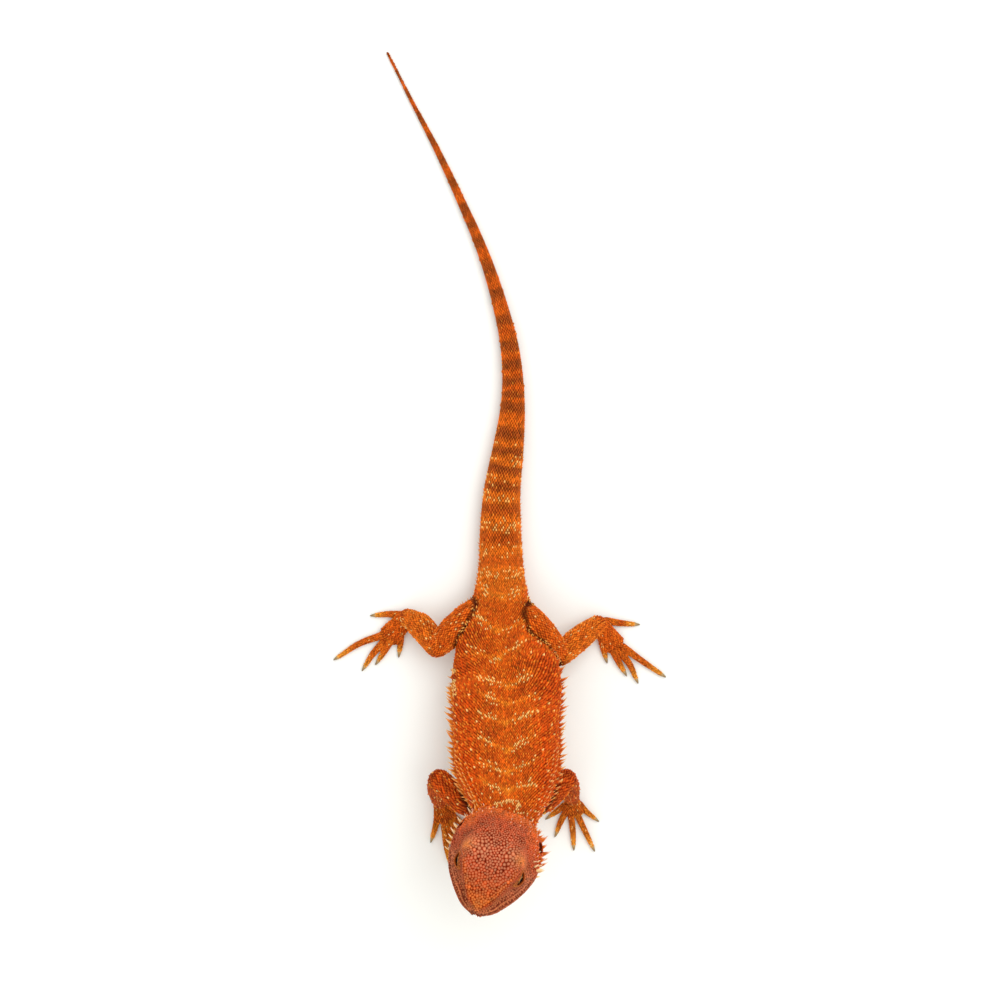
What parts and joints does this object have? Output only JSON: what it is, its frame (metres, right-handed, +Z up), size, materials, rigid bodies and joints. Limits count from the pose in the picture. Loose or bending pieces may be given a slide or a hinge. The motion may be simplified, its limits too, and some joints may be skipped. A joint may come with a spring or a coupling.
{
  "type": "bearded dragon",
  "caption": "Life-size bearded dragon model, standing alert with chest and head raised, feet spread and tail curving behind on the floor.",
  "frame": {"origin": "middle of the bounding box at floor level, under the animal's hips", "axes": "+Z up, +Y from the head towards the tail, +X towards the animal's left"},
  "size_m": [0.1331, 0.3352, 0.0685],
  "materials": {
    "skin": "dry keeled scales, red-orange with pale spots",
    "claw": "smooth horn",
    "eye": "wet and glossy",
    "eardrum": "thin smooth skin"
  },
  "bodies": {
    "root": {"eardrum_left": "eardrum", "eardrum_right": "eardrum", "eye_left": "eye", "eye_right": "eye", "foot_left": "skin", "foot_left_claw_1": "claw", "foot_left_claw_2": "claw", "foot_left_claw_3": "claw", "foot_left_claw_4": "claw", "foot_left_claw_5": "claw", "foot_right": "skin", "foot_right_claw_1": "claw", "foot_right_claw_2": "claw", "foot_right_claw_3": "claw", "foot_right_claw_4": "claw", "foot_right_claw_5": "claw", "forearm_left": "skin", "forearm_right": "skin", "hand_left": "skin", "hand_left_claw_1": "claw", "hand_left_claw_2": "claw", "hand_left_claw_3": "claw", "hand_left_claw_4": "claw", "hand_left_claw_5": "claw", "hand_right": "skin", "hand_right_claw_1": "claw", "hand_right_claw_2": "claw", "hand_right_claw_3": "claw", "hand_right_claw_4": "claw", "hand_right_claw_5": "claw", "head": "skin", "jaw": "skin", "neck": "skin", "shank_left": "skin", "shank_right": "skin", "tail_1": "skin", "tail_2": "skin", "tail_3": "skin", "tail_4": "skin", "thigh_left": "skin", "thigh_right": "skin", "torso": "skin", "upper_arm_left": "skin", "upper_arm_right": "skin"}
  },
  "joints": []
}
